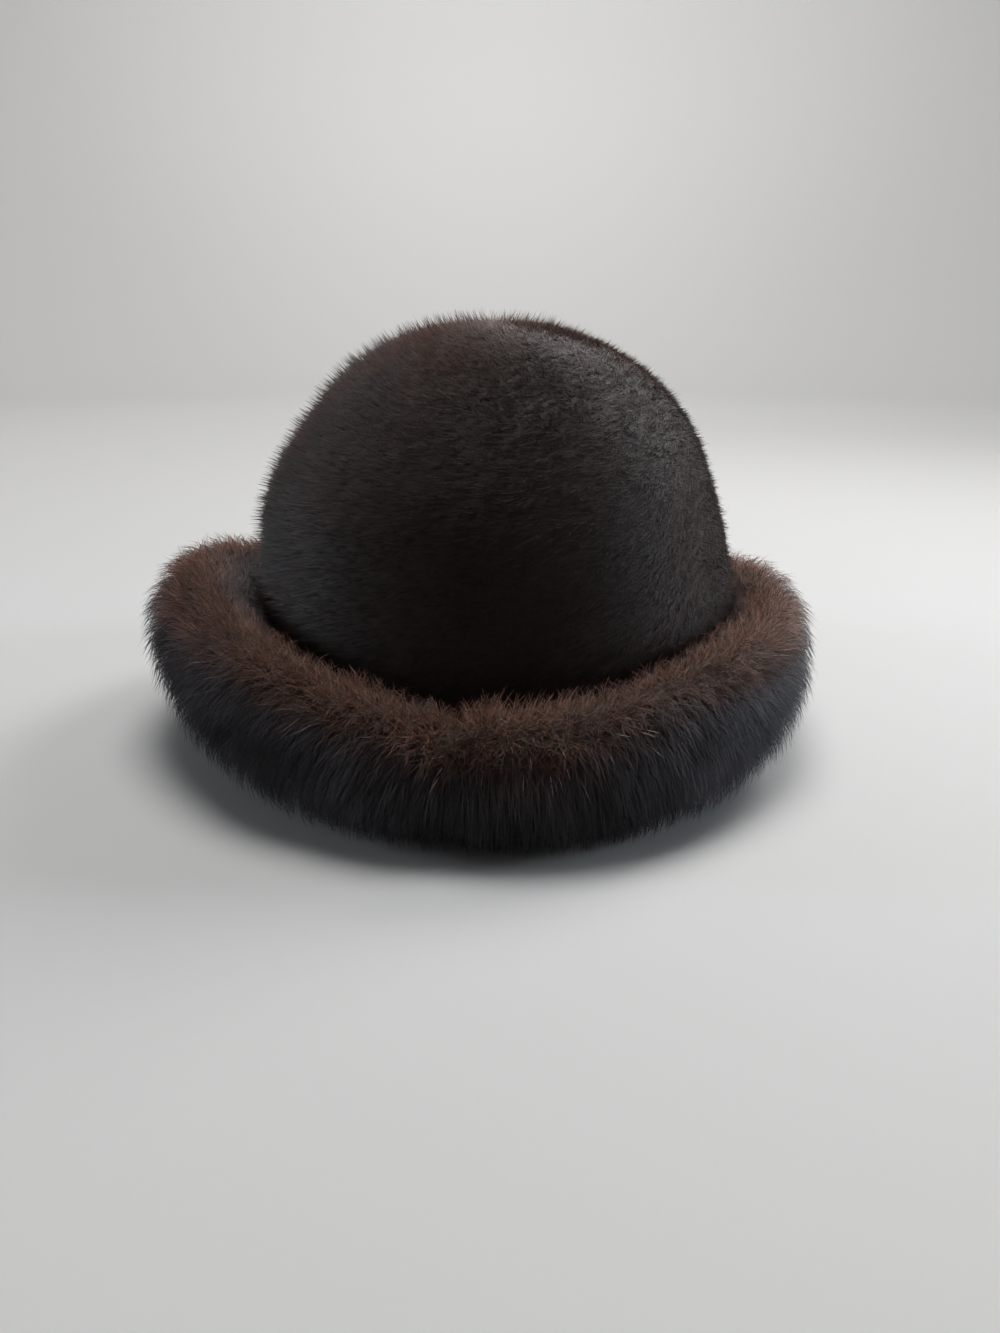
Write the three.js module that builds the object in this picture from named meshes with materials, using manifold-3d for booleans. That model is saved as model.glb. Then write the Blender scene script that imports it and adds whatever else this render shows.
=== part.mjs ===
// A fur hat with a round crown and a thick upturned brim, in millimetres, +Z up.
// The origin is on the floor, under the middle of the hat. The -Y side is the one with the
// join in the brim's fur, and +X is to the right of someone who looks at that side.
import * as THREE from "three";
import { mergeVertices } from "three/addons/utils/BufferGeometryUtils.js";
import Module from "manifold-3d";

const wasm = await Module();
wasm.setup();

// Driving dimensions of the crown
const AXIS_X = 5.7; // the crown stands a little to the right of the brim's middle
const CROWN_LONGER = 1.14; // its length over its width
const CROWN_WALL = 12; // pelt, backing and the fur that lies on them
const INSIDE_FLAT = 24; // radius of the level middle of the hollow's top
const EDGE_ABOVE_BRIM = 6; // from the brim's lowest line up to the crown's edge
const EDGE_LIFT_FADES_AT = 75; // height at which the crown no longer follows the brim's dip
const crownOutline = [
  { half: 91, z: 0 },
  { half: 94.5, z: 30 },
  { half: 95.5, z: 52 },
  { half: 94, z: 70 },
  { half: 91, z: 88 },
  { half: 85, z: 105 },
  { half: 75.5, z: 121.5 },
  { half: 62.5, z: 137 },
  { half: 45.5, z: 149 },
  { half: 25, z: 156.5 },
  { half: 0, z: 159 },
];
const crownLean = [
  { z: 0, right: 4 },
  { z: 45, right: 3 },
  { z: 95, right: 0 },
  { z: 125, right: 2.5 },
  { z: 160, right: 1.5 },
];

// Driving dimensions of the brim. A row gives the roll at one azimuth, counted from +X
// towards +Y: how far it stands out from the crown, how thick it is, and its heights.
const brimRows = [
  { at: 0, reach: 30, width: 35, bottom: 22, top: 62 },
  { at: 45, reach: 38, width: 41, bottom: 7, top: 53 },
  { at: 90, reach: 42, width: 44, bottom: -2, top: 46 },
  { at: 135, reach: 43, width: 44, bottom: 7, top: 55 },
  { at: 180, reach: 47, width: 43, bottom: 24, top: 71 },
  { at: 225, reach: 42, width: 44, bottom: 5, top: 60 },
  { at: 270, reach: 42, width: 44, bottom: -2, top: 48 },
  { at: 315, reach: 36, width: 40, bottom: 3, top: 60 },
];
const ROLL_ROUND = 2.2; // the section's exponent: 2 is an ellipse, more is squarer
const ROLL_TUCK = 4; // the same for the quarter that is sewn to the crown's edge
const SEAM_DEPTH = 4; // how far that quarter would reach into the crown before it is cut
const JOIN_AT = -98; // azimuth of the join between the ends of the fur
const JOIN_HALF = 6; // degrees to each side over which the roll dips there
const JOIN_DIP = 4;
const SEAT_GAP = 0.3; // between the two pieces

// Driving dimensions of the fur's locks
const CROWN_LOCK_RISE = 1.6;
const CROWN_LOCK_COLUMNS = 6; // steps round the crown in the length of one lock
const CROWN_LOCK_FROM = 12; // above the brim's ridge line, where they begin
const BRIM_LOCK_LENGTH = 27;
const BRIM_LOCK_HALF_WIDTH = 9;
const BRIM_LOCK_HALF_DEPTH = 3.4;
const BRIM_LOCK_LIFT = 3.6; // how far a tip stands off the roll
const BRIM_LOCK_SINK = 2.5; // how deep a root lies in the roll
const BRIM_LOCK_FULLNESS = 1.7; // its middle over that of a plain spike
const BRIM_LOCKS_ROUND = 22;
const brimLockRows = [128, 90, 52, 14, -24]; // degrees round the roll, 90 is its ridge
const BRIM_LOCK_UNEVEN = { step: 0.2, degrees: 8, length: 0.15 };
const ROLL_RADIUS = 125; // of the roll's middle round the hat, for widths along it

// Steps of the meshes
const AROUND = 54;
const ROLL_AROUND = 48;
const ROLL_STEPS = 12;
const OUTSIDE_STEPS = 18;
const INSIDE_STEPS = 9;
const FLOOR = { side: 500, depth: 60 }; // the block that cuts the brim flat at z 0

const degrees = THREE.MathUtils.degToRad;

// A closed geometry as a solid that can be joined and cut, and back again.
function solidOf(geometry) {
  const bare = geometry.clone();
  bare.deleteAttribute("normal");
  bare.deleteAttribute("uv");
  const merged = mergeVertices(bare, 1e-3);
  const mesh = new wasm.Mesh({
    numProp: 3,
    vertProperties: merged.attributes.position.array,
    triVerts: new Uint32Array(merged.index.array),
  });
  return new wasm.Manifold(mesh);
}

function geometryOf(solid) {
  const mesh = solid.getMesh();
  const geometry = new THREE.BufferGeometry();
  geometry.setAttribute("position", new THREE.BufferAttribute(mesh.vertProperties, 3));
  geometry.setIndex(new THREE.BufferAttribute(mesh.triVerts, 1));
  geometry.computeVertexNormals();
  return geometry;
}

// Moves each vertex of a geometry to the place that a function gives for it.
function shapedBy(geometry, placeOf) {
  const position = geometry.attributes.position;
  const vertex = new THREE.Vector3();
  for (let i = 0; i < position.count; i += 1) {
    placeOf(vertex.fromBufferAttribute(position, i), i);
    position.setXYZ(i, vertex.x, vertex.y, vertex.z);
  }
  return geometry;
}

// Two columns of the brim's table as one smooth closed curve round the hat.
function roundTheHat(first, second) {
  const points = brimRows.map((row) => new THREE.Vector3(row[first], row[second], 0));
  return new THREE.CatmullRomCurve3(points, true, "catmullrom");
}

const sectionCurve = roundTheHat("reach", "width");
const heightCurve = roundTheHat("bottom", "top");

// The brim's row at any azimuth in radians, with the dip at the join of the fur.
function brimAt(azimuth) {
  const full = 2 * Math.PI;
  const turn = THREE.MathUtils.euclideanModulo(azimuth, full) / full;
  const section = sectionCurve.getPoint(turn);
  const height = heightCurve.getPoint(turn);
  const off = THREE.MathUtils.euclideanModulo(azimuth - degrees(JOIN_AT) + Math.PI, full) - Math.PI;
  const dip = JOIN_DIP * Math.max(0, 1 - Math.abs(off) / degrees(JOIN_HALF));
  return { reach: section.x - dip / 2, width: section.y, bottom: height.x, top: height.y - dip };
}

// How far to the right the crown stands at a height.
function leanAt(z) {
  const next = Math.max(1, crownLean.findIndex((row) => row.z >= z));
  const a = crownLean[next - 1];
  const b = crownLean[next];
  const share = THREE.MathUtils.smoothstep(z, a.z, b.z);
  return THREE.MathUtils.lerp(a.right, b.right, share);
}

// The crown's outer outline from its edge to its top, as points of half-width and height.
function crownCurve(extra) {
  const points = crownOutline.map((row) => new THREE.Vector2(row.half + extra, row.z));
  points[points.length - 1].x = 0;
  const curve = new THREE.SplineCurve(points).getSpacedPoints(OUTSIDE_STEPS);
  curve[curve.length - 1].y += extra;
  return curve;
}

// The lift of the crown's lock that a point lies on. Each lock rises along the crown from
// its root to its tip, and the locks of every second band are set off by half a length.
function crownLock(column, row, z, azimuth) {
  if (row < 1 || row > OUTSIDE_STEPS - 2) return 0;
  const band = Math.floor(row / 2);
  const set = (band % 2) * (CROWN_LOCK_COLUMNS / 2);
  const step = THREE.MathUtils.euclideanModulo(column + set, CROWN_LOCK_COLUMNS);
  const above = z - brimAt(azimuth).top + CROWN_LOCK_FROM;
  const fade = THREE.MathUtils.smoothstep(above, 0, 2 * CROWN_LOCK_FROM);
  return fade * CROWN_LOCK_RISE * (step / (CROWN_LOCK_COLUMNS - 1) - 0.5);
}

// Turns a round shape about the axis into the hat's oval, leaning and dipped one.
function placeOnHat(vertex, lift) {
  const azimuth = Math.atan2(vertex.y, vertex.x);
  const round = Math.hypot(vertex.x, vertex.y);
  const dip = 1 - THREE.MathUtils.smoothstep(vertex.z, 0, EDGE_LIFT_FADES_AT);
  const edge = Math.max(0, brimAt(azimuth).bottom) + EDGE_ABOVE_BRIM;
  const grown = round > 0 ? (round + lift) / round : 1;
  vertex.x = AXIS_X + leanAt(Math.max(0, vertex.z)) + vertex.x * grown;
  vertex.y *= CROWN_LONGER * grown;
  vertex.z += dip * edge;
}

// A solid whose round profile becomes the crown's shape, with locks on its outer points.
function crownSolid(innerPoints, outerPoints) {
  const points = [...innerPoints, ...outerPoints];
  const geometry = new THREE.LatheGeometry(points, AROUND).rotateX(Math.PI / 2);
  return solidOf(shapedBy(geometry, (vertex, i) => {
    const row = (i % points.length) - innerPoints.length;
    const column = Math.floor(i / points.length);
    const azimuth = Math.atan2(vertex.y, vertex.x);
    placeOnHat(vertex, crownLock(column, row, vertex.z, azimuth));
  }));
}

// The crown is a hollow dome with a wall of even thickness, open below.
function makeCrown() {
  const outside = crownCurve(0);
  const top = outside[outside.length - 1].y - CROWN_WALL;
  const inside = outside
    .map((point, i) => {
      const before = outside[Math.max(0, i - 1)];
      const after = outside[Math.min(outside.length - 1, i + 1)];
      const along = after.clone().sub(before).normalize();
      return new THREE.Vector2(point.x - along.y * CROWN_WALL, point.y + along.x * CROWN_WALL);
    })
    .filter((point) => point.x > INSIDE_FLAT + CROWN_WALL / 3);
  const curve = new THREE.SplineCurve([...inside, new THREE.Vector2(INSIDE_FLAT, top)]);
  const hollow = curve.getSpacedPoints(INSIDE_STEPS).reverse();
  hollow[hollow.length - 1].y = 0;
  return crownSolid([new THREE.Vector2(0, top), ...hollow], outside);
}

// What the crown takes up, filled down to the floor, with the gap that it keeps to the brim.
function makeSeat() {
  const outside = crownCurve(SEAT_GAP);
  const foot = new THREE.Vector2(outside[0].x, -FLOOR.depth);
  return crownSolid([new THREE.Vector2(0, foot.y), foot], outside);
}

// The middle of the crown's wall at an azimuth, and the direction that leads away from it.
function wallAt(azimuth) {
  const half = crownOutline[1].half;
  const out = new THREE.Vector2(Math.cos(azimuth) * CROWN_LONGER, Math.sin(azimuth)).normalize();
  const foot = new THREE.Vector2(
    AXIS_X + crownLean[1].right + half * Math.cos(azimuth),
    half * CROWN_LONGER * Math.sin(azimuth),
  );
  return { foot, out };
}

// A point of the roll: azimuth goes round the hat, turn round the roll's own section, from
// its outermost line (0) over the ridge (90 degrees) to the crown (180).
function onRoll(azimuth, turn, off = 0) {
  const row = brimAt(azimuth);
  const { foot, out } = wallAt(azimuth);
  const across = Math.cos(turn);
  const up = Math.sin(turn);
  const power = across < 0 && up < 0 ? ROLL_TUCK : ROLL_ROUND;
  const size = (Math.abs(across) ** power + Math.abs(up) ** power) ** (-1 / power);
  const half = row.width / 2;
  const middle = row.reach - half;
  const toSeam = THREE.MathUtils.lerp(middle + SEAM_DEPTH, half, THREE.MathUtils.smoothstep(up, 0, 1));
  const distance = middle + ((across < 0 ? toSeam : half) * size + off) * across;
  const height = (row.top + row.bottom) / 2 + (((row.top - row.bottom) / 2) * size + off) * up;
  return new THREE.Vector3(foot.x + out.x * distance, foot.y + out.y * distance, height);
}

// One lock of the brim's fur: a bent four-sided spike whose root lies in the roll, and
// which follows the roll towards its outside while its tip rises off it.
function makeLock(azimuth, turn, longer) {
  const spike = new THREE.ConeGeometry(1, 1, 4, 2, false, Math.PI / 4);
  const length = BRIM_LOCK_LENGTH * longer;
  const middle = brimAt(azimuth);
  const perRadian = (middle.width + middle.top - middle.bottom) / 4;
  return shapedBy(spike, (vertex) => {
    const along = vertex.y + 0.5;
    const full = along === 0.5 ? BRIM_LOCK_FULLNESS : 1;
    const lift = BRIM_LOCK_LIFT * along * along - BRIM_LOCK_SINK * (1 - along);
    const off = lift + vertex.z * full * BRIM_LOCK_HALF_DEPTH;
    const sideways = (-vertex.x * full * BRIM_LOCK_HALF_WIDTH) / ROLL_RADIUS;
    vertex.copy(onRoll(azimuth + sideways, turn - (along * length) / perRadian, off));
  });
}

// Even but irregular numbers from -1 to 1, so that no two locks are quite alike.
function uneven(seed) {
  return Math.sin(seed * 12.9898) * Math.cos(seed * 4.1414);
}

// The brim is one thick roll with its locks, cut where the crown sits in it and where it
// rests on the floor.
function makeBrim() {
  const ring = new THREE.TorusGeometry(2, 1, ROLL_STEPS, ROLL_AROUND);
  const roll = shapedBy(ring, (vertex) => {
    const azimuth = Math.atan2(vertex.y, vertex.x);
    const turn = Math.atan2(vertex.z, Math.hypot(vertex.x, vertex.y) - 2);
    vertex.copy(onRoll(azimuth, turn));
  });
  const solids = [solidOf(roll)];
  brimLockRows.forEach((turn, row) => {
    for (let i = 0; i < BRIM_LOCKS_ROUND; i += 1) {
      const seed = row * BRIM_LOCKS_ROUND + i + 1;
      const step = i + (row % 2) / 2 + uneven(seed) * BRIM_LOCK_UNEVEN.step;
      const azimuth = (step / BRIM_LOCKS_ROUND) * 2 * Math.PI;
      const start = degrees(turn + uneven(seed + 0.5) * BRIM_LOCK_UNEVEN.degrees);
      const longer = 1 + uneven(seed + 0.7) * BRIM_LOCK_UNEVEN.length;
      solids.push(solidOf(makeLock(azimuth, start, longer)));
    }
  });
  const block = new THREE.BoxGeometry(FLOOR.side, FLOOR.side, FLOOR.depth);
  const floor = solidOf(block.translate(0, 0, -FLOOR.depth / 2));
  return wasm.Manifold.union(solids).subtract(makeSeat()).subtract(floor);
}

const hat = new THREE.Group();
const crownFur = new THREE.MeshStandardMaterial({ color: 0x1c1413, roughness: 0.75, metalness: 0 });
const brimFur = new THREE.MeshStandardMaterial({ color: 0x3a231b, roughness: 0.85, metalness: 0 });

const crown = new THREE.Mesh(geometryOf(makeCrown()), crownFur);
crown.name = "crown";
hat.add(crown);

const brim = new THREE.Mesh(geometryOf(makeBrim()), brimFur);
brim.name = "brim";
hat.add(brim);

export default hat;
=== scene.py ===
# %% [markdown]
# A fur hat with a round crown and a thick rolled brim.
#
# The real hat is two pieces of dressed mink. The crown is a dome of short, near-black nap. The
# brim is a roll of longer fur, red-brown on its ridge and near black outside, which is sewn to
# the crown's edge and turned up all the way round.
#
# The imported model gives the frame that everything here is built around: its units are metres,
# +Z is up, and the side that is seen in the main view is at -Y. The scene replaces its two
# plain solids with pelts and with fur that is made hair by hair.

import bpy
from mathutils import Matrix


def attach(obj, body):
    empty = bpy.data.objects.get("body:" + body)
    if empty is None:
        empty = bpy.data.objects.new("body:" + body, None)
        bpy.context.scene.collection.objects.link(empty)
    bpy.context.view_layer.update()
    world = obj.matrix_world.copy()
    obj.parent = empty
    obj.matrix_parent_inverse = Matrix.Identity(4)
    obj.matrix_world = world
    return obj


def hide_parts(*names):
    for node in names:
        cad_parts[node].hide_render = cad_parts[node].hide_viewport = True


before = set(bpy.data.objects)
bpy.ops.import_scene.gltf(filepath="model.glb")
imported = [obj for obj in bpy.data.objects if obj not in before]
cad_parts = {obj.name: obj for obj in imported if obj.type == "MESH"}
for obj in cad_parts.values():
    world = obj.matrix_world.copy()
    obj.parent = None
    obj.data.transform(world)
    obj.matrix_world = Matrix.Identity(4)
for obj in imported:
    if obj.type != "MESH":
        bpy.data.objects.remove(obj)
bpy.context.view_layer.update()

# %% Modules
import math
from types import SimpleNamespace

import bmesh
import bpy
import numpy as np
from mathutils import Matrix, Vector

MM = 0.001

# %% [markdown]
# The camera looks at the hat from the photograph's angle. It stands 447 mm in front of the
# hat's middle and 166 mm above the surface that the hat rests on, turned 18.4 degrees down.
# Blender takes a lens length for a sensor 36 mm long, so a focal length in pixels is turned
# into millimetres.

# %% Camera
CAMERA_PLACE = Vector((8.6, -447, 166)) * MM
CAMERA_DOWN = 18.4
FOCAL_PIXELS = 1100
PICTURE_HEIGHT = 1333
SENSOR = 36
NEAREST_SEEN = 10 * MM

camera = bpy.data.objects.new("camera", bpy.data.cameras.new("camera"))
bpy.context.scene.collection.objects.link(camera)
camera.location = CAMERA_PLACE
camera.rotation_euler = (math.radians(90 - CAMERA_DOWN), 0, 0)
camera.data.sensor_width = SENSOR
camera.data.lens = SENSOR * FOCAL_PIXELS / PICTURE_HEIGHT
camera.data.clip_start = NEAREST_SEEN
bpy.context.scene.camera = camera
print("lens", round(camera.data.lens, 2), "mm")

# %% [markdown]
# The hat's shape comes from a few rows of sizes, the same ones that its solids were made from.
# A dome can be turned on a lathe like a pot, and a roll can be bent round it like a tyre.
# Neither is quite round here: the hat is an oval, it leans a little, and the brim is lower at
# the front and back than at the sides. So each surface is a function: it takes an azimuth round
# the hat and a place along the section, and gives points. The pelts and every hair use it.

# %% Sizes of the crown, in millimetres
AXIS_X = 5.7
CROWN_LONGER = 1.14
CROWN_WALL = 12
EDGE_ABOVE_BRIM = 6
EDGE_LIFT_FADES_AT = 75
crown_outline = [
    {"half": 91, "z": 0}, {"half": 94.5, "z": 30}, {"half": 95.5, "z": 52},
    {"half": 94, "z": 70}, {"half": 91, "z": 88}, {"half": 85, "z": 105},
    {"half": 75.5, "z": 121.5}, {"half": 62.5, "z": 137}, {"half": 45.5, "z": 149},
    {"half": 25, "z": 156.5}, {"half": 0, "z": 159},
]
crown_lean = [
    {"z": 0, "right": 4}, {"z": 45, "right": 3}, {"z": 95, "right": 0},
    {"z": 125, "right": 2.5}, {"z": 160, "right": 1.5},
]

# %% Sizes of the brim, in millimetres, at azimuths from +X towards +Y
brim_rows = [
    {"at": 0, "reach": 30, "width": 35, "bottom": 22, "top": 62},
    {"at": 45, "reach": 38, "width": 41, "bottom": 7, "top": 53},
    {"at": 90, "reach": 42, "width": 44, "bottom": -2, "top": 46},
    {"at": 135, "reach": 43, "width": 44, "bottom": 7, "top": 55},
    {"at": 180, "reach": 47, "width": 43, "bottom": 24, "top": 71},
    {"at": 225, "reach": 42, "width": 44, "bottom": 5, "top": 60},
    {"at": 270, "reach": 42, "width": 44, "bottom": -2, "top": 48},
    {"at": 315, "reach": 36, "width": 40, "bottom": 3, "top": 60},
]
ROLL_ROUND = 2.2
ROLL_TUCK = 4
SEAM_DEPTH = 4
JOIN_AT = -98
JOIN_HALF = 6
JOIN_DIP = {"reach": 2, "top": 4}
BRIM_ON_ROW = 1
print("brim rows:", len(brim_rows))


# %% Small helpers
def smooth(value, low, high):
    """0 below low, 1 above high, and an even curve between them."""
    share = np.clip((value - low) / (high - low), 0, 1)
    return share * share * (3 - 2 * share)


def hill(value, middle, half):
    """1 at the middle, falling evenly to both sides, to about a third at a distance of half."""
    return np.exp(-((value - middle) / half) ** 2)


def unit(vectors, least=1e-12):
    """The vectors, each made one long."""
    return vectors / np.maximum(np.linalg.norm(vectors, axis=-1, keepdims=True), least)


def off_join(azimuth):
    """Degrees from the join in the brim's fur, from -180 to 180."""
    return np.mod(azimuth - JOIN_AT + 180, 360) - 180


# %% The brim's sizes at any azimuth, on a closed curve through the rows
def brim_size(column, azimuth):
    rows = np.array([row[column] for row in brim_rows], float)
    place = np.mod(azimuth, 360) * len(rows) / 360
    start = np.floor(place).astype(int)
    t = place - start
    a, b, c, d = (rows[(start + step) % len(rows)] for step in (-1, 0, 1, 2))
    curve = b + t / 2 * (c - a + t * (2 * a - 5 * b + 4 * c - d + t * (3 * (b - c) + d - a)))
    notch = np.maximum(0, 1 - np.abs(off_join(azimuth)) / JOIN_HALF)
    return curve - notch * JOIN_DIP.get(column, 0)


# %% A point of the brim's roll
def on_brim(azimuth, turn, off=0.0):
    """turn goes round the roll's section in degrees: 0 is its outermost line, 90 its ridge,
    180 lies against the crown, and -90 is its underside. off is in millimetres, outwards."""
    around, section = np.radians(azimuth), np.radians(turn)
    across, up = np.cos(section), np.sin(section)
    reach, width, bottom, top = (
        brim_size(column, azimuth) for column in ("reach", "width", "bottom", "top")
    )
    power = np.where((across < 0) & (up < 0), ROLL_TUCK, ROLL_ROUND)
    size = (np.abs(across) ** power + np.abs(up) ** power) ** (-1 / power)
    middle = reach - width / 2
    to_seam = middle + SEAM_DEPTH
    to_seam = to_seam + (width / 2 - to_seam) * smooth(up, 0, 1)
    distance = middle + (np.where(across < 0, to_seam, width / 2) * size + off) * across
    height = (top + bottom) / 2 + ((top - bottom) / 2 * size + off) * up
    out = unit(np.stack([np.cos(around) * CROWN_LONGER, np.sin(around)], -1))
    half, lean = crown_outline[BRIM_ON_ROW]["half"], crown_lean[BRIM_ON_ROW]["right"]
    x = AXIS_X + lean + half * np.cos(around) + out[..., 0] * distance
    y = half * CROWN_LONGER * np.sin(around) + out[..., 1] * distance
    return np.stack([x, y, height], -1) * MM


# %% The crown's outline as one smooth curve, with its length marked off from 0 to 1
def smooth_outline(points, steps=24):
    """Points on a Catmull-Rom curve through the given ones."""
    ends = np.vstack([points[:1], points, points[-1:]])
    t = np.linspace(0, 1, steps, endpoint=False)[:, None]
    curve = []
    for a, b, c, d in zip(ends, ends[1:], ends[2:], ends[3:]):
        bend = 2 * a - 5 * b + 4 * c - d + t * (3 * (b - c) + d - a)
        curve.append(b + t / 2 * (c - a + t * bend))
    return np.vstack([*curve, points[-1:]])


outline = smooth_outline(np.array([[row["half"], row["z"]] for row in crown_outline], float))
steps = np.linalg.norm(np.diff(outline, axis=0), axis=1)
outline_length = steps.sum()
outline_share = np.concatenate([[0], np.cumsum(steps)]) / outline_length
print("crown outline:", round(outline_length, 1), "mm from edge to top")


def on_outline(along):
    """Half the crown's width, and the height, at a share of the outline."""
    return [np.interp(along, outline_share, outline[:, column]) for column in (0, 1)]


# %% A point of the crown
OUTLINE_STEP = 0.01


def place_on_hat(x, y, z):
    """Turns a point of a round, upright dome into one of the oval, leaning and dipped one."""
    lean = crown_lean[0]["right"]
    for low, high in zip(crown_lean, crown_lean[1:]):
        lean = lean + (high["right"] - low["right"]) * smooth(z, low["z"], high["z"])
    azimuth = np.degrees(np.arctan2(y, x))
    lift = np.maximum(0, brim_size("bottom", azimuth)) + EDGE_ABOVE_BRIM
    height = z + lift * (1 - smooth(z, 0, EDGE_LIFT_FADES_AT))
    return np.stack([AXIS_X + lean + x, CROWN_LONGER * y, height], -1) * MM


def on_crown(azimuth, along, off=0.0):
    """along goes from the crown's edge at 0 to its top at 1. off is in millimetres, outwards."""
    half, z = on_outline(along)
    half_before, z_before = on_outline(along - OUTLINE_STEP)
    half_after, z_after = on_outline(along + OUTLINE_STEP)
    rise, draw_in = z_after - z_before, half_before - half_after
    length = np.hypot(rise, draw_in)
    half, z = half + off * rise / length, z + off * draw_in / length
    around = np.radians(azimuth)
    return place_on_hat(half * np.cos(around), half * np.sin(around), z)


# %% [markdown]
# Hair follows the skin that it grows from, so a hair needs to know which way that skin faces.
# Small steps along the surface give two directions on it, one round the hat and one onward
# along the section. Their cross product points straight off the surface. This works for any
# surface that is a function, and needs no mesh.


# %% Directions on a surface
def skin_at(surface, azimuth, onward, depth, step=0.4):
    """Points, and three directions: round the hat, onward along the section, and off it.
    step is in degrees, but the crown's section is measured in shares of its outline."""
    size = step if surface is on_brim else step / 100
    here = surface(azimuth, onward, -depth)
    around = surface(azimuth + step, onward, -depth) - surface(azimuth - step, onward, -depth)
    along = surface(azimuth, onward + size, -depth) - surface(azimuth, onward - size, -depth)
    around, along = unit(around), unit(along)
    return here, around, along, unit(np.cross(around, along))


# %% Roots spread evenly over a surface
TRIES_PER_ROOT = 3
FULL_AREA_PERCENT = 99
AREA_STEP = 0.1
AREA_PARTS = 2000


def spread_roots(rng, surface, count, onward_range):
    """Azimuths and places along the section, with as many on each square millimetre."""
    tries = count * TRIES_PER_ROOT
    azimuth = rng.uniform(0, 360, tries)
    onward = rng.uniform(*onward_range, tries)
    round_step = surface(azimuth + AREA_STEP, onward) - surface(azimuth - AREA_STEP, onward)
    size = (onward_range[1] - onward_range[0]) / AREA_PARTS
    on_step = surface(azimuth, onward + size) - surface(azimuth, onward - size)
    area = np.linalg.norm(np.cross(round_step, on_step), axis=-1)
    full_area = np.percentile(area, FULL_AREA_PERCENT)
    chosen = np.flatnonzero(rng.uniform(0, full_area, tries) < area)[:count]
    return azimuth[chosen], onward[chosen]


# %% [markdown]
# Fur isn't even. Its hairs stand in small bunches whose tips come together, and whole areas of
# it lie a little more to one side. Both are worked out from the place of each root: bunches
# from a grid whose cells are shaken about, and the slow changes from a few long waves.

# %% Bunches
BUNCH_ROWS = 512
MARK_STRETCH = 7.3


def bunch_of(u, v, cells_round, cell_v, seed):
    """The middle of the bunch that each root belongs to, and a number from 0 to 1 for it.
    u is the azimuth in degrees and v the place along the section."""
    cell_u = 360 / cells_round
    centres = np.random.default_rng(seed).uniform(0, 1, (cells_round, BUNCH_ROWS, 3))
    column, row = np.floor(u / cell_u).astype(int), np.floor(v / cell_v).astype(int)
    nearest = np.full(u.shape, np.inf)
    middle_u, middle_v, mark = u.copy(), v.copy(), np.zeros(u.shape)
    for right in (-1, 0, 1):
        for up in (-1, 0, 1):
            shake = centres[(column + right) % cells_round, (row + up) % BUNCH_ROWS]
            at_u = (column + right + shake[:, 0]) * cell_u
            at_v = (row + up + shake[:, 1]) * cell_v
            far = ((u - at_u) / cell_u) ** 2 + ((v - at_v) / cell_v) ** 2
            closer = far < nearest
            nearest = np.where(closer, far, nearest)
            middle_u, middle_v = np.where(closer, at_u, middle_u), np.where(closer, at_v, middle_v)
            mark = np.where(closer, shake[:, 2], mark)
    return middle_u, middle_v, mark


def second_mark(mark):
    """A second number for each bunch, from -0.5 to 0.5, made from its first."""
    return np.mod(mark * MARK_STRETCH, 1) - 0.5


def varied(number, by):
    """A factor that grows by this much as the number goes from 0 to 1, with 1 in the middle."""
    return 1 + by * (number - 0.5)


# %% Slow waves
MOST_TURNS = 13
WAVE_GAIN = 1.6


def slow_waves(azimuth, onward, per_section, seed, count=7):
    """A number about 0, from -1 to 1 nearly everywhere, that changes slowly over a surface."""
    rng = np.random.default_rng(seed)
    total = np.zeros(np.shape(azimuth))
    for _ in range(count):
        turns = rng.integers(1, MOST_TURNS + 1)
        phase = rng.uniform(0, 2 * math.pi)
        slope = rng.uniform(-1, 1) * 2 * math.pi * per_section
        total = total + np.sin(np.radians(azimuth) * turns + onward * slope + phase)
    return total / count * WAVE_GAIN


# %% [markdown]
# One hair is a thin spike with three sides: a root triangle that is hidden in the pelt, a tip,
# and in hairs that bend, one more ring between them. A particle system could grow hair, but its
# strands aren't meshes. Here numpy works out all the roots, bends and tips at once, and each
# layer of fur becomes one joined mesh of closed spikes. Three numbers travel with every hair
# for its material: how far along it a point lies, its own tone, and how brown the fur is where
# it grows.
#
# Bare spikes would sparkle like needles, as each has a bright and a dark side. Real fur shades
# softly, because light passes on from hair to hair. So the normals that every hair is shaded
# with are turned about a third of the way towards the skin's own direction. The fur keeps its
# grain, and still takes one broad sheen, as a dome does.

# %% A layer of fur as one joined mesh
SPIKE_SIDES = 3
LAST_RING_WIDTH = 0.75
SOFTNESS = 0.35


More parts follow.
